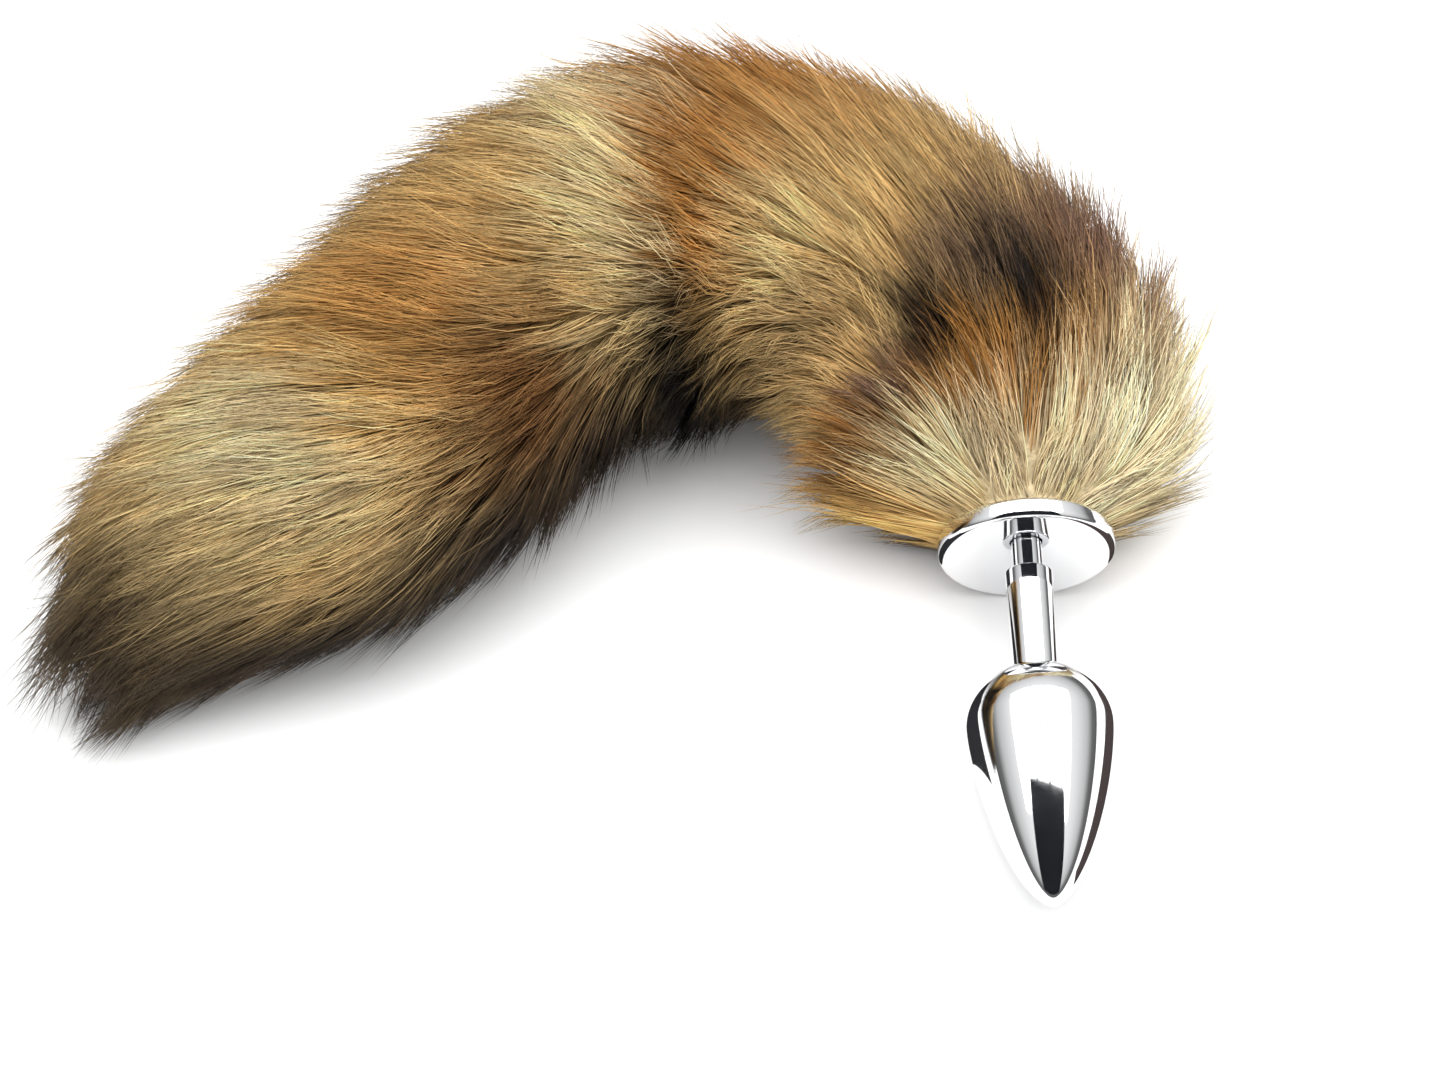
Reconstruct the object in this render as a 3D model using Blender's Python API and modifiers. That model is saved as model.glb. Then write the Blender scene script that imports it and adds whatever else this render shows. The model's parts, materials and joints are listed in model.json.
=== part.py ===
# Fox tail plug: a polished metal plug with a deep fur tail, lying on a flat surface.
# Sizes are in millimetres and become metres where a shape is made. +Z is up, the plug's
# tip points to -Y, and the tail leaves the flange to +Y and sweeps round to -X.

import math
import random

import bmesh
import bpy
from mathutils import Vector

MM = 0.001
CLEARANCE = 0.3  # left between pieces that touch
MERGE_DISTANCE = 0.00001
TURNED_STEPS = 40
SHARP_ANGLE = math.radians(32)
PLUG_TURN = 1.25  # degrees that the plug's tip is turned towards +X, seen from above

# Flange: the disc that stops the plug, with the post that holds the head
FLANGE_DIAMETER = 33.5
FLANGE_THICKNESS = 3.9
FLANGE_EDGE_CHAMFER = 0.45
NECK_DIAMETER = 5.8
NECK_LENGTH = 3.4  # how much of the post shows between flange and stem
POST_DEPTH = 12.0  # how far the post goes into the stem
POST_END_CHAMFER = 0.8

# Head: stem and bulb in one turned piece
STEM_FOOT_DIAMETER = 9.2
STEM_TOP_DIAMETER = 8.4
STEM_LENGTH = 20.6
STEM_EDGE_CHAMFER = 0.35
BULB_DIAMETER = 27.2
SHOULDER_LENGTH = 12.0
TAPER_LENGTH = 35.2
TAPER_POWER = 1.45
TAPER_ROUNDING = 0.58
SHOULDER_RINGS = 8
TAPER_RINGS = 15

# Ferrule: the plain hidden cap that the tail is gathered on
FERRULE_DIAMETER = 13.0
FERRULE_LENGTH = 14.0
FERRULE_CHAMFER = 0.8
STUD_DIAMETER = 4.4
STUD_LENGTH = 2.6

# Tail: its own length is measured along the spine, hair included
TAIL_LENGTH = 258.0
TAIL_HALF_WIDTH = 38.0
TAIL_HALF_HEIGHT = 27.0
FLOOR_GAP = 0.4
ROOT_BLEND_LENGTH = 24.0  # over this length the tail turns from the plug's slope to level
HIDE_SHARE = 0.60  # the hide's radius as a share of the fur's
LOCK_LENGTH = 27.0
LOCK_ROWS = 24
LOCKS_PER_ROW = 20
LAST_ROW = 0.90  # where the last row of locks is rooted
LOCK_REACH = (0.86, 1.04)  # how a lock's length varies
LOCK_LIFT = (0.93, 1.02)  # how far out it stands
LOCK_SWAY = 0.26  # how far it leans sideways, in columns
UNDERSIDE_SQUARENESS = 0.72
LOCK_SEED = 11
SPINE_STEPS = 300

# One row per section of the tail, from the flange to the tip.
# at: share of the tail's length; heading: way it runs, in degrees from +X;
# outer, inner: half widths as shares of the half width, away from and inside the bend;
# height: share of the half height; lock: share of the lock length.
SECTION_COLUMNS = ("at", "heading", "outer", "inner", "height", "lock")
TAIL_SECTIONS = (
    (0.000, 90.0 + PLUG_TURN, 0.48, 0.50, 0.60, 0.90),
    (0.035, 95.0, 0.95, 1.04, 0.84, 0.95),
    (0.085, 106.0, 1.13, 1.14, 0.98, 0.96),
    (0.200, 134.0, 1.14, 1.15, 1.02, 0.86),
    (0.310, 163.0, 1.22, 1.13, 1.04, 0.80),
    (0.420, 191.0, 1.27, 1.15, 1.04, 0.80),
    (0.525, 212.0, 1.14, 1.15, 1.02, 0.90),
    (0.660, 223.0, 1.04, 1.01, 0.98, 1.00),
    (0.795, 228.0, 0.93, 0.82, 0.90, 1.00),
    (0.885, 229.0, 0.74, 0.60, 0.74, 1.00),
    (0.955, 228.0, 0.50, 0.42, 0.54, 0.95),
    (1.000, 227.0, 0.28, 0.24, 0.32, 0.90),
)

# The four rings of a row of locks, as shares of a lock's length along the tail and of
# the fur's depth outwards, at a lock's ridge and at the valley beside it.
LOCK_COLUMNS = ("ridge_along", "ridge_out", "valley_along", "valley_out")
LOCK_RINGS = (
    (0.00, 0.00, 0.00, 0.00),
    (0.50, 0.66, 0.34, 0.30),
    (1.00, 1.00, 0.55, 0.42),
    (0.62, 0.40, 0.47, 0.20),
)

METAL_COLOUR = (0.86, 0.87, 0.88, 1.0)
STEEL_COLOUR = (0.55, 0.56, 0.58, 1.0)
FUR_COLOUR = (0.50, 0.33, 0.16, 1.0)


def clear_scene():
    for old in list(bpy.data.objects):
        bpy.data.objects.remove(old, do_unlink=True)


def make_collection(name):
    collection = bpy.data.collections.new(name)
    bpy.context.scene.collection.children.link(collection)
    return collection


def make_material(name, colour, roughness, metallic):
    material = bpy.data.materials.new(name)
    material.use_nodes = True
    shader = material.node_tree.nodes["Principled BSDF"]
    shader.inputs["Base Color"].default_value = colour
    shader.inputs["Roughness"].default_value = roughness
    shader.inputs["Metallic"].default_value = metallic
    material.diffuse_color = colour
    return material


def make_object(name, mesh, material, collection, parent):
    made = bpy.data.objects.new(name, mesh)
    mesh.materials.append(material)
    collection.objects.link(made)
    made.parent = parent
    return made


# Turned metal pieces

def bulb_radius(past_equator):
    """Radius of the bulb at a distance past its widest ring, towards the tip."""
    if past_equator <= 0:
        return BULB_DIAMETER / 2 * math.sqrt(1 - (past_equator / SHOULDER_LENGTH) ** 2)
    left = 1 - (past_equator / TAPER_LENGTH) ** TAPER_POWER
    return BULB_DIAMETER / 2 * max(left, 0.0) ** TAPER_ROUNDING


def shoulder_start():
    """Angle on the shoulder at which the stem meets it."""
    return math.asin(STEM_TOP_DIAMETER / BULB_DIAMETER)


def equator_depth():
    """Distance from the flange's face to the bulb's widest ring."""
    return NECK_LENGTH + STEM_LENGTH + SHOULDER_LENGTH * math.cos(shoulder_start())


def bulb_rings():
    """Distance past the widest ring and radius, from the stem to the tip."""
    rings = []
    first = shoulder_start()
    for step in range(SHOULDER_RINGS + 1):
        angle = first + (math.pi / 2 - first) * step / SHOULDER_RINGS
        past = -SHOULDER_LENGTH * math.cos(angle)
        rings.append((past, bulb_radius(past)))
    for step in range(1, TAPER_RINGS):
        past = TAPER_LENGTH * math.sin(math.pi / 2 * step / TAPER_RINGS)
        rings.append((past, bulb_radius(past)))
    rings.append((TAPER_LENGTH, 0.0))
    return rings


def plug_tilt():
    """Angle by which the plug dips when flange and bulb both lie on the surface."""
    dips = []
    for past, radius in bulb_rings():
        dips.append((FLANGE_DIAMETER / 2 - radius) / (equator_depth() + past))
    return math.atan(min(dips))


def plug_axis_way():
    """Unit vector along the plug's axis, from its tip towards the tail."""
    level = math.cos(plug_tilt())
    turn = math.radians(PLUG_TURN)
    return Vector((-math.sin(turn) * level, math.cos(turn) * level, math.sin(plug_tilt())))


def turned(name, profile, material, collection, parent):
    """Turns a profile of (radius, height) pairs about Z; it runs down its outer side."""
    mesh = bpy.data.meshes.new(name)
    vertices = [(radius * MM, 0.0, height * MM) for radius, height in profile]
    edges = [(index, index + 1) for index in range(len(profile) - 1)]
    mesh.from_pydata(vertices, edges, [])
    piece = make_object(name, mesh, material, collection, parent)
    screw = piece.modifiers.new("turn", "SCREW")
    screw.axis = "Z"
    screw.angle = math.tau
    screw.steps = TURNED_STEPS
    screw.render_steps = TURNED_STEPS
    screw.use_merge_vertices = True
    screw.merge_threshold = MERGE_DISTANCE
    screw.use_smooth_shade = True
    return piece


def base_flange(material, collection, parent):
    """Disc with its front post and the blind hole in its back; its face is at height 0."""
    rim = FLANGE_DIAMETER / 2
    neck = NECK_DIAMETER / 2
    hole = STUD_DIAMETER / 2 + CLEARANCE
    hole_floor = FLANGE_THICKNESS - STUD_LENGTH
    post_end = -NECK_LENGTH - POST_DEPTH
    profile = [
        (0.0, hole_floor),
        (hole, hole_floor),
        (hole, FLANGE_THICKNESS),
        (rim - FLANGE_EDGE_CHAMFER, FLANGE_THICKNESS),
        (rim, FLANGE_THICKNESS - FLANGE_EDGE_CHAMFER),
        (rim, FLANGE_EDGE_CHAMFER),
        (rim - FLANGE_EDGE_CHAMFER, 0.0),
        (neck, 0.0),
        (neck, post_end + POST_END_CHAMFER),
        (neck - POST_END_CHAMFER, post_end),
        (0.0, post_end),
    ]
    return turned("base_flange", profile, material, collection, parent)


def plug_head(material, collection, parent):
    """Stem and bulb, bored up the stem for the post."""
    bore = NECK_DIAMETER / 2 + CLEARANCE
    foot = -NECK_LENGTH
    bore_floor = foot - POST_DEPTH - CLEARANCE
    foot_radius = STEM_FOOT_DIAMETER / 2
    profile = [
        (0.0, bore_floor),
        (bore, bore_floor),
        (bore, foot),
        (foot_radius - STEM_EDGE_CHAMFER, foot),
        (foot_radius, foot - STEM_EDGE_CHAMFER),
    ]
    for past, radius in bulb_rings():
        profile.append((radius, -equator_depth() - past))
    return turned("plug_head", profile, material, collection, parent)


def tail_ferrule(material, collection, parent):
    """Plain cap behind the flange, with a stud in the flange's hole."""
    outer = FERRULE_DIAMETER / 2
    stud = STUD_DIAMETER / 2
    front = FLANGE_THICKNESS + CLEARANCE
    rear = front + FERRULE_LENGTH
    profile = [
        (0.0, rear),
        (outer - FERRULE_CHAMFER, rear),
        (outer, rear - FERRULE_CHAMFER),
        (outer, front),
        (stud, front),
        (stud, front - STUD_LENGTH),
        (0.0, front - STUD_LENGTH),
    ]
    return turned("tail_ferrule", profile, material, collection, parent)


# Fur tail

def section_at(share):
    """The row of the section table at a share of the length, read between its rows."""
    share = min(max(share, 0.0), 1.0)
    for low, high in zip(TAIL_SECTIONS, TAIL_SECTIONS[1:]):
        if share <= high[0]:
            break
    part = (share - low[0]) / (high[0] - low[0])
    values = [a + (b - a) * part for a, b in zip(low, high)]
    return dict(zip(SECTION_COLUMNS, values))


def spine_points():
    """The spine seen from above, walked in small steps along the headings."""
    axis = plug_axis_way()
    start = (FLANGE_THICKNESS + CLEARANCE) * axis
    points = [Vector((start.x, start.y, 0.0))]
    step = TAIL_LENGTH / SPINE_STEPS
    for index in range(SPINE_STEPS):
        heading = math.radians(section_at((index + 0.5) / SPINE_STEPS)["heading"])
        points.append(points[-1] + step * Vector((math.cos(heading), math.sin(heading), 0.0)))
    return points


def spine_place(points, station):
    """Place above the surface, right-hand way and up way of the spine at a station."""
    share = station / TAIL_LENGTH
    section = section_at(share)
    exact = min(max(share, 0.0), 1.0) * SPINE_STEPS
    index = min(int(exact), SPINE_STEPS - 1)
    place = points[index].lerp(points[index + 1], exact - index)
    heading = math.radians(section["heading"])
    forward = Vector((math.cos(heading), math.sin(heading), 0.0))
    place += forward * max(station - TAIL_LENGTH, 0.0)
    level = min(station / ROOT_BLEND_LENGTH, 1.0)
    level = level * level * (3 - 2 * level)
    root_height = FLANGE_DIAMETER / 2 * math.cos(plug_tilt())
    root_height += (FLANGE_THICKNESS + CLEARANCE) * math.sin(plug_tilt())
    rest_height = TAIL_HALF_HEIGHT * section["height"] + FLOOR_GAP
    place.z = root_height + (rest_height - root_height) * level
    slope = plug_tilt() * (1 - level)
    right = Vector((math.sin(heading), -math.cos(heading), 0.0))
    up = Vector((0.0, 0.0, math.cos(slope))) - forward * math.sin(slope)
    return place, right, up, section


def fur_point(points, station, angle, depth):
    """A point of the fur: depth is 0 on the hide and 1 at the hair's tips."""
    place, right, up, section = spine_place(points, station)
    across = math.cos(angle)
    above = math.sin(angle)
    side = section["outer"] if across > 0 else section["inner"]
    if above < 0:
        across = math.copysign(abs(across) ** UNDERSIDE_SQUARENESS, across)
        above = -abs(above) ** UNDERSIDE_SQUARENESS
    height = TAIL_HALF_HEIGHT * section["height"]
    if above < 0:
        height = min(height, place.z - FLOOR_GAP)
    share = HIDE_SHARE + (1 - HIDE_SHARE) * depth
    point = place + right * (TAIL_HALF_WIDTH * side * across * share)
    return point + up * (height * above * share)


def socket_ring(columns, depth, radius):
    """A ring of the round socket that the ferrule fills, on the plug's own axis."""
    axis = plug_axis_way()
    right = axis.cross(Vector((0.0, 0.0, 1.0))).normalized()
    up = right.cross(axis)
    centre = Vector((0.0, 0.0, FLANGE_DIAMETER / 2 * math.cos(plug_tilt())))
    centre += axis * (FLANGE_THICKNESS + CLEARANCE + depth)
    ring = []
    for column in range(columns):
        angle = math.tau * column / columns
        ring.append(centre + radius * (right * math.cos(angle) + up * math.sin(angle)))
    return ring


def lock_row(points, row, station, columns, chance):
    """The four rings of one row of locks; every second row is turned by half a lock."""
    length = LOCK_LENGTH * section_at(station / TAIL_LENGTH)["lock"]
    reach = [chance.uniform(*LOCK_REACH) for column in range(columns)]
    lift = [chance.uniform(*LOCK_LIFT) for column in range(columns)]
    sway = [chance.uniform(-LOCK_SWAY, LOCK_SWAY) for column in range(columns)]
    rings = []
    for values in LOCK_RINGS:
        part = dict(zip(LOCK_COLUMNS, values))
        ring = []
        for column in range(columns):
            ridge = (column + row) % 2 == 0
            along = part["ridge_along"] * reach[column] if ridge else part["valley_along"]
            out = part["ridge_out"] * lift[column] if ridge else part["valley_out"]
            turn = column + (sway[column] * along if ridge else 0.0)
            angle = math.tau * turn / columns
            ring.append(fur_point(points, station + along * length, angle, out))
        rings.append(ring)
    return rings


def fur_rings(columns):
    """Every ring of the tail in order, from the socket's floor to the tip."""
    points = spine_points()
    chance = random.Random(LOCK_SEED)
    socket_radius = FERRULE_DIAMETER / 2 + CLEARANCE
    rings = [
        socket_ring(columns, FERRULE_LENGTH + CLEARANCE, socket_radius),
        socket_ring(columns, 0.0, socket_radius),
    ]
    last = TAIL_LENGTH * LAST_ROW
    for row in range(LOCK_ROWS):
        station = last * row / (LOCK_ROWS - 1)
        rings += lock_row(points, row, station, columns, chance)
    end = []
    for column in range(columns):
        end.append(fur_point(points, last + LOCK_LENGTH / 4, math.tau * column / columns, -1.0))
    rings.append(end)
    return rings


def tail_fur(material, collection, parent):
    """Hide with overlapping rows of locks, lofted in one closed skin round the socket."""
    columns = 2 * LOCKS_PER_ROW
    rings = fur_rings(columns)
    shape = bmesh.new()
    made = [[shape.verts.new(point * MM) for point in ring] for ring in rings]
    for near, far in zip(made, made[1:]):
        for column in range(columns):
            beside = (column + 1) % columns
            shape.faces.new((near[column], near[beside], far[beside], far[column]))
    shape.faces.new(made[0])
    shape.faces.new(made[-1])
    bmesh.ops.triangulate(shape, faces=shape.faces[:])
    bmesh.ops.recalc_face_normals(shape, faces=shape.faces[:])
    mesh = bpy.data.meshes.new("tail_fur")
    shape.to_mesh(mesh)
    shape.free()
    mesh.shade_smooth()
    mesh.set_sharp_from_angle(angle=SHARP_ANGLE)
    return make_object("tail_fur", mesh, material, collection, parent)


def centre_on_surface(root, pieces):
    """Moves the parent so that the whole part is centred over the origin and rests on Z 0."""
    bpy.context.view_layer.update()
    graph = bpy.context.evaluated_depsgraph_get()
    corners = []
    for piece in pieces:
        solid = piece.evaluated_get(graph)
        mesh = solid.to_mesh()
        corners += [piece.matrix_world @ vertex.co for vertex in mesh.vertices]
        solid.to_mesh_clear()
    low = Vector([min(corner[axis] for corner in corners) for axis in range(3)])
    high = Vector([max(corner[axis] for corner in corners) for axis in range(3)])
    root.location = -Vector(((low.x + high.x) / 2, (low.y + high.y) / 2, low.z))


def main():
    clear_scene()
    collection = make_collection("fox_tail_plug")
    polished = make_material("polished_metal", METAL_COLOUR, 0.06, 1.0)
    steel = make_material("plain_steel", STEEL_COLOUR, 0.35, 1.0)
    fur = make_material("fox_fur", FUR_COLOUR, 0.75, 0.0)

    root = bpy.data.objects.new("plug_and_tail", None)
    collection.objects.link(root)
    axis = bpy.data.objects.new("plug_axis", None)
    collection.objects.link(axis)
    axis.parent = root
    axis.location.z = FLANGE_DIAMETER / 2 * math.cos(plug_tilt()) * MM
    axis.rotation_euler = (plug_tilt() - math.pi / 2, 0.0, math.radians(PLUG_TURN))

    pieces = [
        plug_head(polished, collection, axis),
        base_flange(polished, collection, axis),
        tail_ferrule(steel, collection, axis),
        tail_fur(fur, collection, root),
    ]
    centre_on_surface(root, pieces)


main()
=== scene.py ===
import json
import math

import bpy
import numpy as np
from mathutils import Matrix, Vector


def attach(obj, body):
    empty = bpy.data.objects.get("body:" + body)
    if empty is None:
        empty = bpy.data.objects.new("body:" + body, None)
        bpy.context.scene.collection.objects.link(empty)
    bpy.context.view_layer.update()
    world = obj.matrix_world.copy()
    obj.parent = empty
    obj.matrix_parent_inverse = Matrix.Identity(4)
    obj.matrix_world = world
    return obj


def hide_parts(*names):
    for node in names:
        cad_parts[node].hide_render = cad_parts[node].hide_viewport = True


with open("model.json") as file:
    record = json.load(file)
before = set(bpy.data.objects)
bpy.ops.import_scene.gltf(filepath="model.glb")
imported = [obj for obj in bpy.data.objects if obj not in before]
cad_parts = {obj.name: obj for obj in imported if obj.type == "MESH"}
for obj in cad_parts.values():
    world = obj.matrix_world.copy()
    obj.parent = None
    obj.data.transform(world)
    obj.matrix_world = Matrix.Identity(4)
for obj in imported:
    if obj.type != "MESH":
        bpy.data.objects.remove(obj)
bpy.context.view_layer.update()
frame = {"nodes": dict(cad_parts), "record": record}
nodes = frame["nodes"]
mm = 0.001
print("frame loaded")


# Small helpers for node trees

def addNode(tree, kind, **settings):
    node = tree.nodes.new(kind)
    for name, value in settings.items():
        setattr(node, name, value)
    return node


def feed(tree, socket, value):
    # links a socket, or sets a plain value
    if isinstance(value, bpy.types.NodeSocket):
        tree.links.new(value, socket)
    else:
        socket.default_value = value


def calculate(tree, operation, *values):
    node = addNode(tree, "ShaderNodeMath", operation=operation)
    for socket, value in zip(node.inputs, values):
        feed(tree, socket, value)
    return node.outputs[0]


def vectorStep(tree, operation, *values):
    node = addNode(tree, "ShaderNodeVectorMath", operation=operation)
    places = (0, 3) if operation == "SCALE" else (0, 1, 2)
    for place, value in zip(places, values):
        feed(tree, node.inputs[place], value)
    return node.outputs[1] if operation in ("LENGTH", "DOT_PRODUCT") else node.outputs[0]


def fromSrgb(red, green, blue):
    # 0 to 255 as seen on screen, to the linear light that shaders use
    seen = np.array((red, green, blue)) / 255.0
    linear = np.where(seen <= 0.04045, seen / 12.92, ((seen + 0.055) / 1.055) ** 2.4)
    return tuple(float(part) for part in linear)


# Shader groups that several materials share

def newGroup(name, inputs, outputs):
    group = bpy.data.node_groups.new(name, "ShaderNodeTree")
    for label, kind, value in inputs:
        socket = group.interface.new_socket(label, in_out="INPUT", socket_type=kind)
        socket.default_value = value
    for label, kind in outputs:
        group.interface.new_socket(label, in_out="OUTPUT", socket_type=kind)
    return group, addNode(group, "NodeGroupInput"), addNode(group, "NodeGroupOutput")


def makeToneGroup():
    # cloudy lighter and darker tone over a colour
    group, given, result = newGroup(
        "toneVariation",
        (
            ("Vector", "NodeSocketVector", (0, 0, 0)),
            ("Colour", "NodeSocketColor", (1, 1, 1, 1)),
            ("Scale", "NodeSocketFloat", 90.0),
            ("Amount", "NodeSocketFloat", 0.2),
        ),
        (("Colour", "NodeSocketColor"), ("Mask", "NodeSocketFloat")),
    )
    noise = addNode(group, "ShaderNodeTexNoise")
    noise.inputs["Detail"].default_value = 4.0
    group.links.new(given.outputs["Vector"], noise.inputs["Vector"])
    group.links.new(given.outputs["Scale"], noise.inputs["Scale"])
    swing = calculate(group, "SUBTRACT", noise.outputs["Fac"], 0.5)
    swing = calculate(group, "MULTIPLY", swing, given.outputs["Amount"])
    value = calculate(group, "MULTIPLY_ADD", swing, 2.0, 1.0)
    shade = addNode(group, "ShaderNodeHueSaturation")
    group.links.new(given.outputs["Colour"], shade.inputs["Color"])
    group.links.new(value, shade.inputs["Value"])
    group.links.new(shade.outputs["Color"], result.inputs["Colour"])
    group.links.new(noise.outputs["Fac"], result.inputs["Mask"])
    return group


def makeWipeGroup():
    # faint wiping marks and dust on polished metal: a mask and a height
    group, given, result = newGroup(
        "wipingMarks",
        (
            ("Vector", "NodeSocketVector", (0, 0, 0)),
            ("Smudge Scale", "NodeSocketFloat", 120.0),
            ("Scratch Scale", "NodeSocketFloat", 900.0),
        ),
        (("Smudge", "NodeSocketFloat"), ("Height", "NodeSocketFloat")),
    )
    smudge = addNode(group, "ShaderNodeTexNoise")
    smudge.inputs["Detail"].default_value = 5.0
    smudge.inputs["Roughness"].default_value = 0.6
    group.links.new(given.outputs["Vector"], smudge.inputs["Vector"])
    group.links.new(given.outputs["Smudge Scale"], smudge.inputs["Scale"])
    stretched = vectorStep(group, "MULTIPLY", given.outputs["Vector"], (1.0, 0.12, 1.0))
    scratch = addNode(group, "ShaderNodeTexNoise")
    scratch.inputs["Detail"].default_value = 3.0
    group.links.new(stretched, scratch.inputs["Vector"])
    group.links.new(given.outputs["Scratch Scale"], scratch.inputs["Scale"])
    group.links.new(smudge.outputs["Fac"], result.inputs["Smudge"])
    group.links.new(scratch.outputs["Fac"], result.inputs["Height"])
    return group


toneGroup = makeToneGroup()
wipeGroup = makeWipeGroup()


def newMaterial(name, colour):
    material = bpy.data.materials.new(name)
    material.use_nodes = True
    shader = material.node_tree.nodes["Principled BSDF"]
    shader.inputs["Base Color"].default_value = (*colour, 1.0)
    return material, material.node_tree, shader


def useGroup(tree, group, **values):
    node = addNode(tree, "ShaderNodeGroup", node_tree=group)
    for name, value in values.items():
        feed(tree, node.inputs[name.replace("_", " ")], value)
    return node


# Metal finishes

metalFinish = {
    "colour": (0.90, 0.905, 0.915),
    "roughness": (0.035, 0.10),  # clean and smudged
    "bump": 0.00001,
    "steelColour": (0.55, 0.56, 0.58),
    "steelRoughness": (0.28, 0.45),
}


def makeMetal(name, colour, roughness, smudgeScale, bumpStrength):
    material, tree, shader = newMaterial(name, colour)
    shader.inputs["Metallic"].default_value = 1.0
    place = addNode(tree, "ShaderNodeTexCoord").outputs["Object"]
    marks = useGroup(tree, wipeGroup, Vector=place, Smudge_Scale=smudgeScale)
    spread = addNode(tree, "ShaderNodeMapRange")
    feed(tree, spread.inputs["Value"], marks.outputs["Smudge"])
    spread.inputs["From Min"].default_value = 0.35
    spread.inputs["From Max"].default_value = 0.75
    spread.inputs["To Min"].default_value = roughness[0]
    spread.inputs["To Max"].default_value = roughness[1]
    tree.links.new(spread.outputs["Result"], shader.inputs["Roughness"])
    bump = addNode(tree, "ShaderNodeBump")
    bump.inputs["Strength"].default_value = bumpStrength
    bump.inputs["Distance"].default_value = metalFinish["bump"]
    tree.links.new(marks.outputs["Height"], bump.inputs["Height"])
    tree.links.new(bump.outputs["Normal"], shader.inputs["Normal"])
    return material


polishedMetal = makeMetal("polishedMetal", metalFinish["colour"], metalFinish["roughness"], 130.0, 0.15)
plainMetal = makeMetal(
    "plainMetal", metalFinish["steelColour"], metalFinish["steelRoughness"], 400.0, 0.6)


# Plug: the same turned profiles as the frame's solids, in fine steps. Millimetres.
plug = {
    "flangeDiameter": 33.5,
    "flangeThickness": 3.9,
    "flangeEdge": 0.9,
    "flangeFrontEdge": 1.5,
    "neckDiameter": 5.8,
    "neckLength": 3.4,
    "postDepth": 12.0,
    "postEnd": 0.8,
    "stemFootDiameter": 9.2,
    "stemTopDiameter": 8.4,
    "stemLength": 20.6,
    "stemEdge": 0.5,
    "bulbDiameter": 27.2,
    "shoulderLength": 12.0,
    "taperLength": 35.2,
    "taperPower": 1.45,
    "taperRounding": 0.58,
    "studDiameter": 4.4,
    "studLength": 2.6,
    "clearance": 0.3,
    "shoulderSteps": 36,
    "taperSteps": 64,
    "roundSteps": 160,
    "cornerSteps": 5,
    "mountOffset": 10.0,  # the flange's mount lies this far beside its middle
}

mount = frame["record"]["mounts"][0]
plugAxis = -Vector(mount["axis"]).normalized()  # from the flange's face to the tail
plugSide = plugAxis.cross(Vector((0.0, 0.0, 1.0))).normalized()
faceCentre = Vector(mount["pos_m"]) - plugSide * (plug["mountOffset"] * mm)
plugTilt = math.asin(plugAxis.z)
plugTurn = math.degrees(math.atan2(plugSide.y, plugSide.x))


def bulbRadius(past):
    # past is the distance from the widest ring, towards the tip
    if past <= 0:
        return plug["bulbDiameter"] / 2 * math.sqrt(1 - (past / plug["shoulderLength"]) ** 2)
    left = max(1 - (past / plug["taperLength"]) ** plug["taperPower"], 0.0)
    return plug["bulbDiameter"] / 2 * left ** plug["taperRounding"]


def roundCorner(before, corner, after, size):
    # a short arc in place of a sharp corner of a profile
    corner = np.array(corner)
    start = corner + (np.array(before) - corner) / np.linalg.norm(np.array(before) - corner) * size
    end = corner + (np.array(after) - corner) / np.linalg.norm(np.array(after) - corner) * size
    points = []
    for step in range(plug["cornerSteps"] + 1):
        part = step / plug["cornerSteps"]
        point = (1 - part) ** 2 * start + 2 * part * (1 - part) * corner + part ** 2 * end
        points.append((float(point[0]), float(point[1])))
    return points


def turnProfile(name, profile, material):
    # turns (radius, distance towards the tail) pairs about the plug's axis, closed at both ends
    steps = plug["roundSteps"]
    side = plugSide
    up = plugAxis.cross(side)
    vertices = []
    rings = []
    for radius, height in profile:
        middle = faceCentre + plugAxis * (height * mm)
        if radius < 1e-6:
            rings.append([len(vertices)])
            vertices.append(middle)
            continue
        rings.append(list(range(len(vertices), len(vertices) + steps)))
        for step in range(steps):
            angle = math.tau * step / steps
            vertices.append(middle + radius * mm * (side * math.cos(angle) + up * math.sin(angle)))
    faces = []
    for near, far in zip(rings, rings[1:]):
        for step in range(steps):
            beside = (step + 1) % steps
            if len(near) == 1:
                faces.append((near[0], far[beside], far[step]))
            elif len(far) == 1:
                faces.append((near[step], near[beside], far[0]))
            else:
                faces.append((near[step], near[beside], far[beside], far[step]))
    mesh = bpy.data.meshes.new(name)
    mesh.from_pydata(vertices, [], faces)
    mesh.materials.append(material)
    mesh.shade_smooth()
    mesh.set_sharp_from_angle(angle=math.radians(32))
    piece = bpy.data.objects.new(name, mesh)
    bpy.context.scene.collection.objects.link(piece)
    return piece


def makeFlange():
    rim = plug["flangeDiameter"] / 2
    thick = plug["flangeThickness"]
    neck = plug["neckDiameter"] / 2
    hole = plug["studDiameter"] / 2 + plug["clearance"]
    holeFloor = thick - plug["studLength"]
    postEnd = -plug["neckLength"] - plug["postDepth"]
    edge = plug["flangeEdge"]
    profile = [(0.0, holeFloor), (hole, holeFloor), (hole, thick)]
    profile += roundCorner((hole, thick), (rim, thick), (rim, 0.0), edge)
    profile += roundCorner((rim, thick), (rim, 0.0), (neck, 0.0), plug["flangeFrontEdge"])
    profile += [(neck, 0.0), (neck, postEnd + plug["postEnd"])]
    profile += [(neck - plug["postEnd"], postEnd), (0.0, postEnd)]
    return turnProfile("polishedFlange", profile, polishedMetal)


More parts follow.
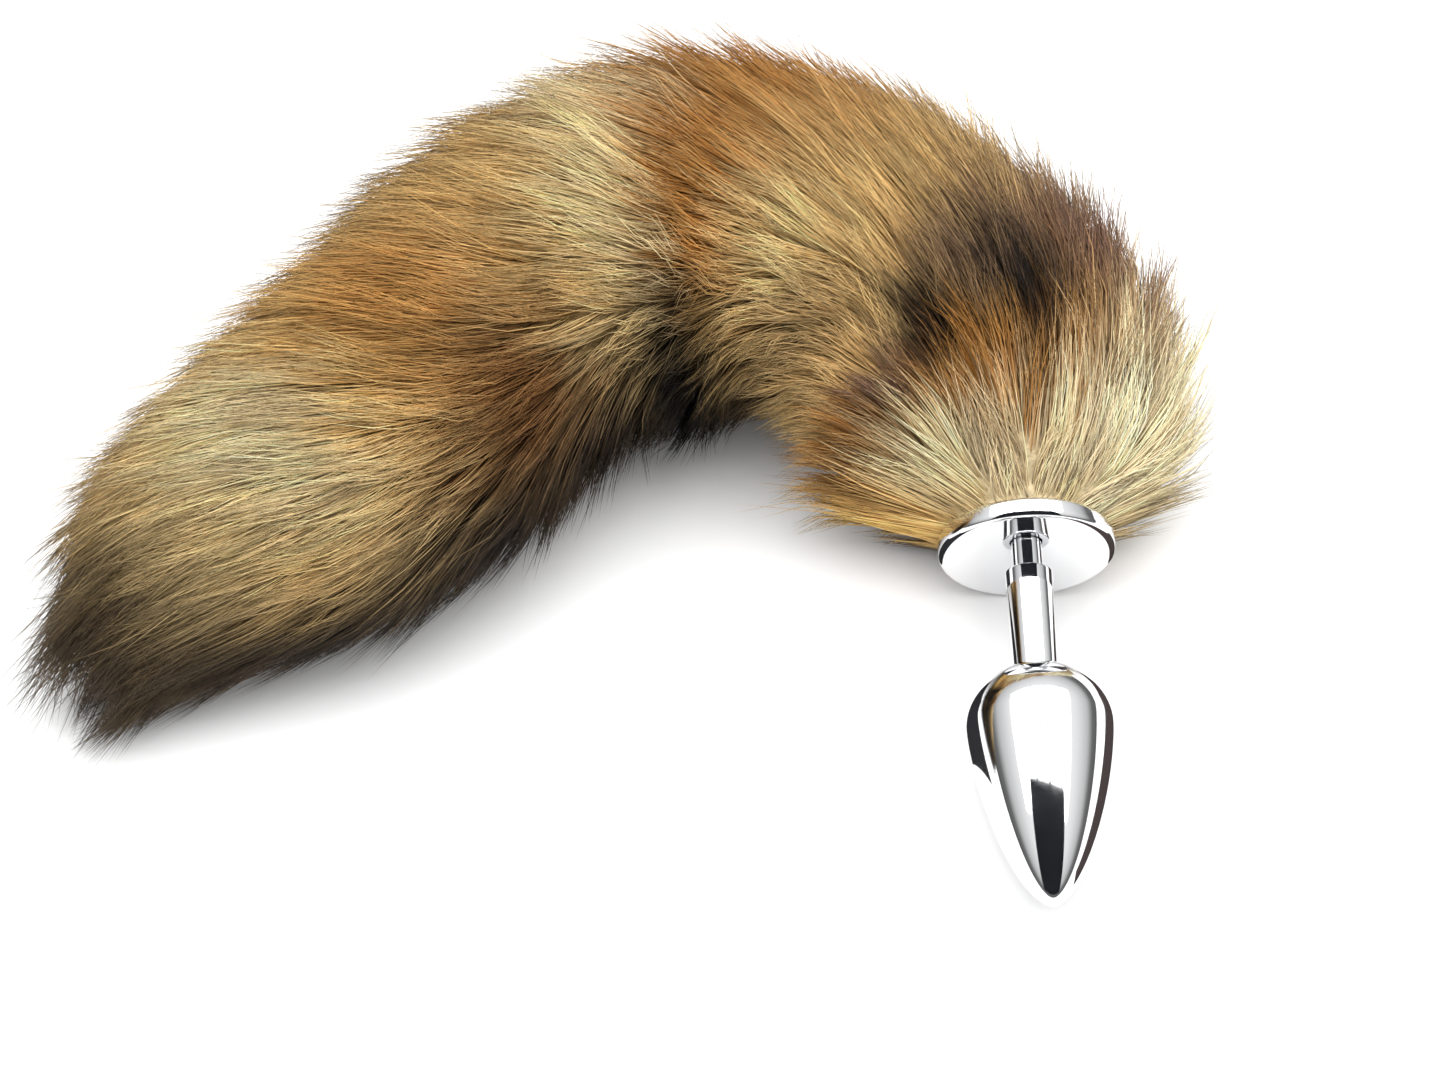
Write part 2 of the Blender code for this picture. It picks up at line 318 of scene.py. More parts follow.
def makeHead():
    bore = plug["neckDiameter"] / 2 + plug["clearance"]
    foot = -plug["neckLength"]
    boreFloor = foot - plug["postDepth"] - plug["clearance"]
    footRadius = plug["stemFootDiameter"] / 2
    stemAngle = math.asin(plug["stemTopDiameter"] / plug["bulbDiameter"])
    widest = plug["neckLength"] + plug["stemLength"] + plug["shoulderLength"] * math.cos(stemAngle)
    stemTop = (plug["stemTopDiameter"] / 2, foot - plug["stemLength"])
    profile = [(0.0, boreFloor), (bore, boreFloor), (bore, foot)]
    profile += roundCorner((bore, foot), (footRadius, foot), stemTop, plug["stemEdge"])
    for step in range(plug["shoulderSteps"] + 1):
        angle = stemAngle + (math.pi / 2 - stemAngle) * step / plug["shoulderSteps"]
        past = -plug["shoulderLength"] * math.cos(angle)
        profile.append((bulbRadius(past), -widest - past))
    for step in range(1, plug["taperSteps"]):
        past = plug["taperLength"] * math.sin(math.pi / 2 * step / plug["taperSteps"])
        profile.append((bulbRadius(past), -widest - past))
    profile.append((0.0, -widest - plug["taperLength"]))
    return turnProfile("polishedHead", profile, polishedMetal)


polishedFlange = makeFlange()
polishedHead = makeHead()
nodes["tail_ferrule"].data.materials.clear()
nodes["tail_ferrule"].data.materials.append(plainMetal)
print("metal turned")


# Tail: its form as in the frame's solid, a little slimmer outside where the hair thins out. Millimetres, from the point under the flange's face.
tail = {
    "length": 258.0,
    "halfWidth": 38.0,
    "halfHeight": 27.0,
    "floorGap": 0.4,
    "rootBlend": 24.0,
    "hideShare": 0.60,
    "squareness": 0.72,
    "spineSteps": 300,
    "ferruleDiameter": 13.0,
    "ferruleLength": 14.0,
}

# at: share of the length; heading: degrees from +X; the rest: shares of the half sizes
tailSections = {
    "at": (0.0, 0.035, 0.085, 0.2, 0.31, 0.42, 0.525, 0.66, 0.795, 0.885, 0.955, 1.0),
    "heading": (90 + plugTurn, 95, 106, 134, 163, 191, 212, 223, 228, 231, 233, 235),
    "outer": (0.48, 0.93, 1.08, 1.00, 1.06, 1.17, 0.98, 0.74, 0.66, 0.60, 0.32, 0.16),
    "inner": (0.50, 1.04, 1.17, 1.02, 1.07, 1.22, 1.12, 1.24, 1.10, 0.71, 0.36, 0.20),
    "height": (0.60, 0.84, 0.98, 1.02, 1.04, 1.04, 1.02, 0.98, 0.90, 0.74, 0.54, 0.32),
}


def section(share, column):
    return np.interp(share, tailSections["at"], tailSections[column])


def walkSpine():
    steps = tail["spineSteps"]
    headings = np.radians(section((np.arange(steps) + 0.5) / steps, "heading"))
    moves = np.stack((np.cos(headings), np.sin(headings)), 1) * tail["length"] / steps
    start = (plug["flangeThickness"] + plug["clearance"]) * plugAxis
    return np.concatenate((np.zeros((1, 2)), np.cumsum(moves, 0))) + (start.x, start.y)


spine = walkSpine()


def furPoint(station, angle, depth):
    # a place in the coat, in metres: depth is 0 on the hide and 1 at the coat's outside
    station, angle, depth = np.broadcast_arrays(
        np.asarray(station, float), np.asarray(angle, float), np.asarray(depth, float))
    share = station / tail["length"]
    exact = np.clip(share, 0, 1) * tail["spineSteps"]
    index = np.minimum(exact.astype(int), tail["spineSteps"] - 1)
    place = spine[index] + (spine[index + 1] - spine[index]) * (exact - index)[..., None]
    heading = np.radians(section(share, "heading"))
    forward = np.stack((np.cos(heading), np.sin(heading)), -1)
    place = place + forward * (np.maximum(station - tail["length"], 0) + np.minimum(station, 0))[..., None]
    level = np.clip(station / tail["rootBlend"], 0, 1)
    level = level * level * (3 - 2 * level)
    rootHeight = plug["flangeDiameter"] / 2 * math.cos(plugTilt)
    rootHeight += (plug["flangeThickness"] + plug["clearance"]) * math.sin(plugTilt)
    restHeight = tail["halfHeight"] * section(share, "height") + tail["floorGap"]
    centre = rootHeight + (restHeight - rootHeight) * level
    slope = plugTilt * (1 - level)
    across = np.cos(angle)
    above = np.sin(angle)
    side = np.where(across > 0, section(share, "outer"), section(share, "inner"))
    under = above < 0
    across = np.where(under, np.sign(across) * np.abs(across) ** tail["squareness"], across)
    above = np.where(under, -np.abs(above) ** tail["squareness"], above)
    height = tail["halfHeight"] * section(share, "height")
    height = np.where(under, np.minimum(height, centre - tail["floorGap"]), height)
    reach = tail["hideShare"] + (1 - tail["hideShare"]) * depth
    wide = tail["halfWidth"] * side * across * reach
    tall = height * above * reach
    x = place[..., 0] + np.sin(heading) * wide - forward[..., 0] * np.sin(slope) * tall
    y = place[..., 1] - np.cos(heading) * wide - forward[..., 1] * np.sin(slope) * tall
    points = np.stack((x, y, centre + np.cos(slope) * tall), -1) * mm
    return points + (faceCentre.x, faceCentre.y, 0.0)


# Coat colours: a palette, and where each one lies on the tail
palette = {
    "cream": fromSrgb(255, 237, 198),
    "blond": fromSrgb(255, 226, 166),
    "gold": fromSrgb(244, 200, 118),
    "tan": fromSrgb(226, 190, 128),
    "rust": fromSrgb(208, 158, 90),
    "fox": fromSrgb(188, 130, 60),
    "brown": fromSrgb(150, 104, 58),
    "olive": fromSrgb(200, 168, 116),
    "mauve": fromSrgb(124, 92, 80),
    "grey": fromSrgb(128, 108, 88),
    "charcoal": fromSrgb(56, 46, 40),
    "black": fromSrgb(14, 11, 12),
}

# at, half length: shares of the tail's length; around, half width: degrees, where 0 is
# the outside of the bend, 90 the top and 180 the inside. Later patches lie over earlier ones.
coatPatches = (
    (0.03, 60, 0.09, 90, "blond", 1.0),
    (0.045, 20, 0.06, 50, "cream", 0.8),
    (0.03, 90, 0.035, 60, "cream", 0.8),
    (0.03, 185, 0.05, 30, "gold", 0.8),
    (0.09, 160, 0.05, 22, "fox", 1.0),
    (0.065, 170, 0.035, 14, "brown", 0.7),
    (0.098, 106, 0.042, 23, "fox", 1.0),
    (0.096, 75, 0.028, 22, "fox", 1.0),
    (0.145, 45, 0.035, 24, "fox", 0.8),
    (0.16, 34, 0.05, 34, "mauve", 0.9),
    (0.23, 5, 0.04, 26, "grey", 0.7),
    (0.178, 84, 0.035, 24, "mauve", 0.9),
    (0.130, 78, 0.047, 14, "black", 1.0),
    (0.142, 111, 0.043, 12, "black", 1.0),
    (0.110, 134, 0.032, 13, "mauve", 1.0),
    (0.245, 85, 0.04, 26, "tan", 0.9),
    (0.255, 150, 0.07, 26, "olive", 0.9),
    (0.32, 118, 0.055, 26, "blond", 0.8),
    (0.35, 205, 0.09, 26, "charcoal", 0.9),
    (0.365, 30, 0.07, 60, "fox", 0.9),
    (0.33, 5, 0.05, 22, "brown", 0.6),
    (0.405, 100, 0.03, 40, "fox", 1.0),
    (0.445, 125, 0.02, 18, "brown", 0.8),
    (0.45, 55, 0.03, 28, "cream", 0.7),
    (0.49, 105, 0.04, 40, "blond", 1.0),
    (0.475, 100, 0.022, 30, "cream", 0.5),
    (0.54, 130, 0.035, 20, "blond", 0.8),
    (0.49, -5, 0.05, 30, "grey", 0.8),
    (0.445, 168, 0.053, 34, "black", 1.0),
    (0.43, 203, 0.10, 36, "black", 1.0),
    (0.58, 98, 0.05, 40, "tan", 0.9),
    (0.66, 88, 0.055, 34, "rust", 1.0),
    (0.61, 40, 0.06, 24, "tan", 0.7),
    (0.615, 140, 0.055, 26, "brown", 1.0),
    (0.675, 152, 0.05, 20, "brown", 0.85),
    (0.745, 92, 0.04, 34, "gold", 0.6),
    (0.615, 10, 0.10, 22, "grey", 0.8),
    (0.60, -8, 0.12, 18, "charcoal", 0.7),
    (0.84, 110, 0.085, 62, "blond", 1.0),
    (0.80, 90, 0.05, 38, "cream", 0.7),
    (0.84, 165, 0.05, 26, "tan", 0.9),
    (0.78, 8, 0.08, 20, "grey", 0.8),
    # charcoal along the lower inside: partly the coat's own colour, partly painted shade
    (0.56, 187, 0.08, 32, "charcoal", 1.0),
    (0.70, 190, 0.10, 33, "charcoal", 1.0),
    (0.84, 198, 0.10, 28, "charcoal", 1.0),
    (1.0, 110, 0.082, 200, "charcoal", 0.95),
    (0.91, 175, 0.03, 30, "charcoal", 0.8),
    (0.92, 0, 0.03, 40, "charcoal", 0.8),
)

coat = {
    "base": "tan",
    "under": "grey",  # the hidden and lower side, greyer there: partly the coat's own colour, partly painted shade
    "patchEdge": 3.2,  # how crisp a patch's rim is
    # how dark the painted shade at each hair's root is
    "rootShade": 0.76,
    "streakAlong": 0.017,
    "streakAround": 5.0,
    "toneSpread": 0.28,
    "clumpAlong": 0.016,
    "clumpTone": 0.28,
    "tipShade": 0.26,
    "tippedShare": 0.22,
    "tippedOutside": 0.75,
    "guardShare": 0.12,
    "guardTone": 0.42,
}


def coatColour(share, around):
    colour = np.empty((len(share), 3))
    colour[:] = palette[coat["base"]]
    # darker towards the lower side: partly the coat's own colour, partly painted shade
    below = np.clip((np.abs((around - 90 + 180) % 360 - 180) - 100) / 40, 0, 1)
    colour += (np.array(palette[coat["under"]]) - colour) * below[:, None]
    for at, middle, halfLength, halfWidth, name, strength in coatPatches:
        away = np.abs((around - middle + 180) % 360 - 180) / halfWidth
        distance = np.sqrt(((share - at) / halfLength) ** 2 + away ** 2)
        cover = strength * np.exp(-0.7 * distance ** coat["patchEdge"])
        colour += (np.array(palette[name]) - colour) * cover[:, None]
    return colour


# How the hair lies. along: millimetres that a hair runs down the tail, times outerAlong on
# the outside of the bend and innerAlong on the inside. innerBody: how much fuller the hide is
# on the inside, so that the hair there lies along the tail. mid, tip: how far out it stands half way and at its end, where
# outerTip and innerTip hold on the two sides. sweep: degrees that it turns to the outside.
hairLay = {
    "at": (0.0, 0.03, 0.08, 0.15, 0.22, 0.30, 0.36, 0.42, 0.50, 0.57, 0.70, 0.82, 0.90, 0.95),
    "along": (6, 12, 21, 24, 23, 22, 21, 21, 22, 22, 24, 24, 18, 13),
    "innerAlong": (1, 1, 1, 1, 1, 1, 1, 1, 1.1, 1.3, 1.4, 1.3, 1.1, 1),
    "innerBody": (0, 0, 0, 0, 0, 0, 0, 0.05, 0.2, 0.32, 0.34, 0.28, 0.1, 0),
    "outerAlong": (0.9, 0.8, 0.62, 0.58, 0.62, 0.75, 0.8, 0.75, 0.65, 0.6, 0.55, 0.55, 0.7, 0.9),
    "mid": (0.50, 0.53, 0.55, 0.56, 0.56, 0.56, 0.56, 0.56, 0.56, 0.56, 0.56, 0.56, 0.54, 0.52),
    "tip": (0.98, 1.0, 1.0, 1.0, 1.0, 1.0, 1.0, 1.0, 1.0, 1.0, 1.0, 1.0, 0.95, 0.9),
    "outerTip": (0.98, 0.95, 0.92, 0.88, 0.86, 0.85, 0.87, 0.88, 0.84, 0.78, 0.72, 0.68, 0.55, 0.5),
    "innerTip": (1.0, 1.05, 1.05, 0.93, 0.86, 0.88, 0.94, 1.0, 1.0, 1.0, 1.0, 1.0, 0.95, 0.85),
    "sweep": (0, 0, 0, 4, 6, 8, 10, 14, 20, 26, 28, 26, 18, 10),
}

hair = {
    "pieces": ("bushHair", "shoulderHair", "bendHair", "limbHair", "endHair"),
    "strands": 11400,  # in each piece
    "radius": 0.15,
    "sides": 3,
    "segments": 3,
    "shortest": 0.58,
    "longest": 1.26,
    "clumpSpacing": 3.8,
    "clumping": 0.72,
    "clumpStray": 4.2,
    "wave": 4.0,
    "waveScale": 40.0,
    "frizz": 2.4,
    "flyaways": 0.06,  # share of the hairs that stand out of the locks
    "flyawayReach": 1.2,
    "looseOutside": 0.9,
    "looseEnd": 0.7,
    "looseFrom": 0.78,
    "tightBelow": 0.6,
    "tightInside": 0.35,
    "thinEnd": 0.35,  # how much sparser the hairs are on the outside at the end
    "seed": 7,
    "columns": 128,
    "rows": 220,
    "lastRoot": 0.95,
    "rootDepth": 0.05,
}


def layAt(share, column):
    return np.interp(share, hairLay["at"], hairLay[column])


def innerBody(share, angle):
    return layAt(share, "innerBody") * np.clip(-np.cos(angle), 0, 1) ** 2


def hairCurve(station, angle):
    # root, middle and tip of the hair that grows at each station and angle
    share = station / tail["length"]
    outside = np.maximum(np.cos(angle), 0)
    along = layAt(share, "along") * (1 + (layAt(share, "outerAlong") - 1) * outside ** 2)
    turn = -np.radians(layAt(share, "sweep")) * np.maximum(np.sin(angle), 0)
    below = np.clip(-np.sin(angle), 0, 1)
    inside = np.clip(-np.cos(angle), 0, 1) ** 2
    along = along * (1 + (layAt(share, "innerAlong") - 1) * inside)
    body = innerBody(share, angle)
    tipDepth = layAt(share, "tip") - 0.12 * below
    tipDepth += (layAt(share, "outerTip") - layAt(share, "tip")) * outside ** 2
    tipDepth += (layAt(share, "innerTip") - layAt(share, "tip")) * inside
    root = furPoint(station, angle, hair["rootDepth"] + body)
    middle = furPoint(station + along * 0.5, angle + turn * 0.4, layAt(share, "mid") + body * 0.5)
    tip = furPoint(station + along, angle + turn, tipDepth)
    return root, middle - root, tip - root, along, turn


def addAttribute(mesh, name, kind, values):
    attribute = mesh.attributes.new(name, kind, "POINT")
    key = "vector" if kind == "FLOAT_VECTOR" else "value"
    attribute.data.foreach_set(key, np.ascontiguousarray(values, np.float32).ravel())


def readAttribute(mesh, name, width):
    data = mesh.attributes[name].data
    values = np.empty(len(data) * width, np.float32)
    data.foreach_get("vector" if width == 3 else "value", values)
    return values.reshape(-1, 3) if width == 3 else values


def gridFaces(rows, columns):
    # quads of a grid of points, listed row by row
    row, column = np.meshgrid(np.arange(rows - 1), np.arange(columns - 1), indexing="ij")
    first = (row * columns + column).ravel()
    return np.stack((first, first + columns, first + columns + 1, first + 1), 1)


def looseness(share, angle):
    # how far the hairs stray: most on the outside and at the end, least where they hang
    outside = np.maximum(np.cos(angle), 0) ** 2
    hanging = np.clip(-np.sin(angle), 0, 1)
    late = np.clip((share - hair["looseFrom"]) / (1 - hair["looseFrom"]), 0, 1)
    loose = 1 + hair["looseOutside"] * outside * np.clip(share / 0.1, 0, 1)
    loose = loose + hair["looseEnd"] * late
    inside = np.clip(-np.cos(angle), 0, 1) ** 2
    return loose * (1 - hair["tightBelow"] * hanging) * (1 - hair["tightInside"] * inside)


def hairSkin(name, firstRow, lastRow):
    # the strip of hide that one piece's hairs grow on, with the hair's way on its points
    stations = np.linspace(0.0, tail["length"] * hair["lastRoot"], hair["rows"])[firstRow:lastRow + 1]
    angles = np.linspace(-math.pi / 2, math.pi * 1.5, hair["columns"] + 1)
    station, angle = (part.ravel() for part in np.meshgrid(stations, angles, indexing="ij"))
    root, middle, tip, along, turn = hairCurve(station, angle)
    mesh = bpy.data.meshes.new(name)
    faces = gridFaces(len(stations), len(angles))
    mesh.from_pydata(root.tolist(), [], faces.tolist())
    addAttribute(mesh, "middle", "FLOAT_VECTOR", middle)
    addAttribute(mesh, "tip", "FLOAT_VECTOR", tip)
    addAttribute(mesh, "lie", "FLOAT_VECTOR", np.stack((station, np.degrees(angle), along), 1))
    addAttribute(mesh, "turn", "FLOAT", np.degrees(turn))
    cover = np.where(np.sin(angle) > -0.35, 1.0, 0.4)
    late = np.clip((station / tail["length"] - hair["looseFrom"]) / (1 - hair["looseFrom"]), 0, 1)
    cover *= 1 - hair["thinEnd"] * late * np.clip(np.cos(angle), 0, 1)
    addAttribute(mesh, "cover", "FLOAT", cover)
    addAttribute(mesh, "loose", "FLOAT", looseness(station / tail["length"], angle))
    skin = bpy.data.objects.new(name, mesh)
    bpy.context.scene.collection.objects.link(skin)
    return skin


def rowAreas():
    # how much each row of the skin counts, so that the pieces share the hairs evenly
    skin = hairSkin("wholeSkin", 0, hair["rows"] - 1)
    areas = np.empty(len(skin.data.polygons))
    skin.data.polygons.foreach_get("area", areas)
    cover = readAttribute(skin.data, "cover", 1).reshape(hair["rows"], -1)[0, :-1]
    bpy.data.objects.remove(skin)
    return (areas.reshape(hair["rows"] - 1, hair["columns"]) * cover).sum(1)


def strandTree():
    # hairs on a skin: each is a slim cone that is bent along root, middle and tip
    tree = bpy.data.node_groups.new("furStrands", "GeometryNodeTree")
    inputs = (
        ("Skin", "NodeSocketGeometry"), ("Density", "NodeSocketFloat"), ("Clump Density", "NodeSocketFloat"),
        ("Radius", "NodeSocketFloat"), ("Shortest", "NodeSocketFloat"), ("Longest", "NodeSocketFloat"),
        ("Clumping", "NodeSocketFloat"), ("Clump Stray", "NodeSocketFloat"),
        ("Wave", "NodeSocketFloat"), ("Wave Scale", "NodeSocketFloat"),
        ("Frizz", "NodeSocketFloat"), ("Flyaways", "NodeSocketFloat"), ("Flyaway Reach", "NodeSocketFloat"),
        ("Sides", "NodeSocketInt"), ("Segments", "NodeSocketInt"),
        ("Seed", "NodeSocketInt"), ("Material", "NodeSocketMaterial"),
    )
    for name, kind in inputs:
        tree.interface.new_socket(name, in_out="INPUT", socket_type=kind)
    tree.interface.new_socket("Hair", in_out="OUTPUT", socket_type="NodeSocketGeometry")
    given = addNode(tree, "NodeGroupInput").outputs
    result = addNode(tree, "NodeGroupOutput")

    def named(name, kind="FLOAT_VECTOR"):
        node = addNode(tree, "GeometryNodeInputNamedAttribute", data_type=kind)
        node.inputs["Name"].default_value = name
        return node.outputs["Attribute"]

    def scatter(density, seed):
        node = addNode(tree, "GeometryNodeDistributePointsOnFaces")
        tree.links.new(given["Skin"], node.inputs["Mesh"])
        tree.links.new(calculate(tree, "MULTIPLY", named("cover", "FLOAT"), density), node.inputs["Density"])
        tree.links.new(seed, node.inputs["Seed"])
        return node.outputs["Points"]

    def keep(geometry, name, kind, value):
        node = addNode(tree, "GeometryNodeStoreNamedAttribute", data_type=kind)
        node.inputs["Name"].default_value = name
        tree.links.new(geometry, node.inputs["Geometry"])
        feed(tree, node.inputs["Value"], value)
        return node.outputs["Geometry"]

    def chance(low, high, step, kind="FLOAT", of=None):
        node = addNode(tree, "FunctionNodeRandomValue", data_type=kind)
        if of is not None:
            tree.links.new(of, node.inputs["ID"])
        first = 0 if kind == "FLOAT_VECTOR" else 2
        feed(tree, node.inputs[first], low)
        feed(tree, node.inputs[first + 1], high)
        tree.links.new(calculate(tree, "ADD", given["Seed"], step), node.inputs["Seed"])
        return node.outputs[0 if kind == "FLOAT_VECTOR" else 1]

    position = addNode(tree, "GeometryNodeInputPosition").outputs["Position"]
    points = scatter(given["Density"], given["Seed"])
    clumps = scatter(given["Clump Density"], calculate(tree, "ADD", given["Seed"], 1))
    nearest = addNode(tree, "GeometryNodeSampleNearest")
    tree.links.new(clumps, nearest.inputs["Geometry"])

    def ofClump(value):
        node = addNode(tree, "GeometryNodeSampleIndex", data_type="FLOAT_VECTOR")
        tree.links.new(clumps, node.inputs["Geometry"])
        tree.links.new(value, node.inputs["Value"])
        tree.links.new(nearest.outputs["Index"], node.inputs["Index"])
        return node.outputs["Value"]

    points = keep(points, "clumpRoot", "FLOAT_VECTOR", ofClump(position))
    points = keep(points, "clumpMiddle", "FLOAT_VECTOR", ofClump(named("middle")))
    points = keep(points, "clumpTip", "FLOAT_VECTOR", ofClump(named("tip")))
    clumpChance = chance((-1, -1, -1), (1, 1, 1), 5, "FLOAT_VECTOR", nearest.outputs["Index"])
    points = keep(points, "clumpChance", "FLOAT_VECTOR", clumpChance)
    points = keep(points, "root", "FLOAT_VECTOR", position)
    free = calculate(tree, "LESS_THAN", chance(0.0, 1.0, 6), given["Flyaways"])
    points = keep(points, "free", "FLOAT", free)
    longer = calculate(tree, "MULTIPLY_ADD", free, calculate(tree, "SUBTRACT", given["Flyaway Reach"], 1.0), 1.0)
    long = calculate(tree, "MULTIPLY", chance(given["Shortest"], given["Longest"], 2), longer)
    points = keep(points, "long", "FLOAT", long)
    points = keep(points, "chance", "FLOAT_VECTOR", chance((0, 0, 0), (1, 1, 1), 3, "FLOAT_VECTOR"))
    points = keep(points, "stray", "FLOAT_VECTOR", chance((-1, -1, -1), (1, 1, 1), 4, "FLOAT_VECTOR"))

    cone = addNode(tree, "GeometryNodeMeshCone", fill_type="NGON")
    tree.links.new(given["Sides"], cone.inputs["Vertices"])
    tree.links.new(given["Segments"], cone.inputs["Side Segments"])
    cone.inputs["Radius Top"].default_value = 0.0
    cone.inputs["Radius Bottom"].default_value = 1.0
    cone.inputs["Depth"].default_value = 1.0
    upright = addNode(tree, "ShaderNodeSeparateXYZ")
    tree.links.new(position, upright.inputs["Vector"])
    strand = keep(cone.outputs["Mesh"], "part", "FLOAT", upright.outputs["Z"])
    strand = keep(strand, "rim", "FLOAT_VECTOR", vectorStep(tree, "MULTIPLY", position, (1, 1, 0)))
    place = addNode(tree, "GeometryNodeInstanceOnPoints")
    tree.links.new(points, place.inputs["Points"])
    tree.links.new(strand, place.inputs["Instance"])
    realize = addNode(tree, "GeometryNodeRealizeInstances")
    tree.links.new(place.outputs["Instances"], realize.inputs["Geometry"])

    part = named("part", "FLOAT")
    reach = calculate(tree, "MULTIPLY", part, named("long", "FLOAT"))
    bow = calculate(tree, "MULTIPLY", calculate(tree, "MULTIPLY", reach, 4.0), calculate(tree, "SUBTRACT", 1.0, reach))
    end = calculate(tree, "MULTIPLY", reach, calculate(tree, "MULTIPLY_ADD", reach, 2.0, -1.0))

    def curve(root, middle, tip):
        bent = vectorStep(tree, "ADD", vectorStep(tree, "SCALE", middle, bow), vectorStep(tree, "SCALE", tip, end))
        return vectorStep(tree, "ADD", root, bent)

    own = curve(named("root"), named("middle"), named("tip"))
    shared = curve(named("clumpRoot"), named("clumpMiddle"), named("clumpTip"))
    strayed = calculate(tree, "MULTIPLY", calculate(tree, "MULTIPLY", reach, reach), given["Clump Stray"])
    strayed = calculate(tree, "MULTIPLY", strayed, named("loose", "FLOAT"))
    shared = vectorStep(tree, "ADD", shared, vectorStep(tree, "SCALE", named("clumpChance"), strayed))
    pull = calculate(tree, "MULTIPLY", calculate(tree, "POWER", part, 1.4), given["Clumping"])
    pull = calculate(tree, "MULTIPLY", pull, calculate(tree, "MULTIPLY_ADD", named("free", "FLOAT"), -0.8, 1.0))
    line = vectorStep(tree, "ADD", own, vectorStep(tree, "SCALE", vectorStep(tree, "SUBTRACT", shared, own), pull))
    noise = addNode(tree, "ShaderNodeTexNoise")
    tree.links.new(named("root"), noise.inputs["Vector"])
    tree.links.new(given["Wave Scale"], noise.inputs["Scale"])
    drift = vectorStep(tree, "SUBTRACT", noise.outputs["Color"], (0.5, 0.5, 0.5))
    squared = calculate(tree, "MULTIPLY", reach, part)
    drift = vectorStep(tree, "SCALE", drift, calculate(tree, "MULTIPLY", squared, given["Wave"]))
    frizz = calculate(tree, "MULTIPLY", squared, given["Frizz"])
    frizz = calculate(tree, "MULTIPLY", frizz, named("loose", "FLOAT"))
    stray = vectorStep(tree, "SCALE", named("stray"), frizz)
    line = vectorStep(tree, "ADD", line, vectorStep(tree, "ADD", drift, stray))

    slow = vectorStep(tree, "SCALE", named("middle"), calculate(tree, "MULTIPLY_ADD", reach, -8.0, 4.0))
    late = vectorStep(tree, "SCALE", named("tip"), calculate(tree, "MULTIPLY_ADD", reach, 4.0, -1.0))
    way = vectorStep(tree, "NORMALIZE", vectorStep(tree, "ADD", slow, late))
    side = vectorStep(tree, "NORMALIZE", vectorStep(tree, "CROSS_PRODUCT", way, (0.13, 0.29, 0.95)))
    out = vectorStep(tree, "CROSS_PRODUCT", way, side)
    rim = addNode(tree, "ShaderNodeSeparateXYZ")
    tree.links.new(named("rim"), rim.inputs["Vector"])
    ring = vectorStep(
        tree, "ADD",
        vectorStep(tree, "SCALE", side, rim.outputs["X"]), vectorStep(tree, "SCALE", out, rim.outputs["Y"]))
    thick = calculate(tree, "MULTIPLY", calculate(tree, "MULTIPLY_ADD", part, 1.2, 1.0), given["Radius"])
    final = vectorStep(tree, "ADD", line, vectorStep(tree, "SCALE", ring, thick))

    move = addNode(tree, "GeometryNodeSetPosition")
    tree.links.new(realize.outputs["Geometry"], move.inputs["Geometry"])
    tree.links.new(final, move.inputs["Position"])
    finish = addNode(tree, "GeometryNodeSetMaterial")
    tree.links.new(move.outputs["Geometry"], finish.inputs["Geometry"])
    tree.links.new(given["Material"], finish.inputs["Material"])
    tree.links.new(finish.outputs["Geometry"], result.inputs["Hair"])
    return tree


def paintCoat(mesh, share, around, part, chance, clumpChance):
    # colour by place on the tail, drawn out along the hairs, with painted shade towards each hair's root and darker
    # tips on the dark-tipped hairs
    swing = (chance - 0.5) * 2
    streaked = share + swing[:, 0] * coat["streakAlong"] + clumpChance[:, 0] * coat["clumpAlong"]
    turned = around + swing[:, 1] * coat["streakAround"]
    colour = coatColour(streaked, turned)
    tone = 1 + swing[:, 2] * coat["toneSpread"] + clumpChance[:, 1] * coat["clumpTone"]
    guard = (chance[:, 1] * 5.3 + chance[:, 2] * 8.9) % 1 < coat["guardShare"]
    tone = np.where(guard, coat["guardTone"], tone)
    # painted shade: each hair darker towards its root, where the hairs crowd
    root = coat["rootShade"] + (1 - coat["rootShade"]) * np.clip(part / 0.55, 0, 1)
    outside = np.clip(np.cos(np.radians(around)), 0, 1) ** 2
    tipped = coat["tippedShare"] + (coat["tippedOutside"] - coat["tippedShare"]) * outside
    darkTipped = (chance[:, 0] * 7.31 + chance[:, 2] * 3.7) % 1 < tipped
    tip = 1 - (1 - coat["tipShade"]) * darkTipped * np.clip((part - 0.62) / 0.3, 0, 1)
    colour *= (tone * root * tip)[:, None]
    painted = mesh.color_attributes.new("furColour", "FLOAT_COLOR", "POINT")
    values = np.ones((len(colour), 4), np.float32)
    values[:, :3] = np.clip(colour, 0, 1)
    painted.data.foreach_set("color", values.ravel())


def makeHairMaterial():
    material, tree, shader = newMaterial("foxHair", palette["tan"])
    paint = addNode(tree, "ShaderNodeAttribute", attribute_name="furColour")
    place = addNode(tree, "ShaderNodeTexCoord").outputs["Object"]
    tone = useGroup(tree, toneGroup, Vector=place, Colour=paint.outputs["Color"], Scale=160.0, Amount=0.16)
    tree.links.new(tone.outputs["Colour"], shader.inputs["Base Color"])
    shader.inputs["Roughness"].default_value = 0.55
    shader.inputs["Specular IOR Level"].default_value = 0.22
    return material


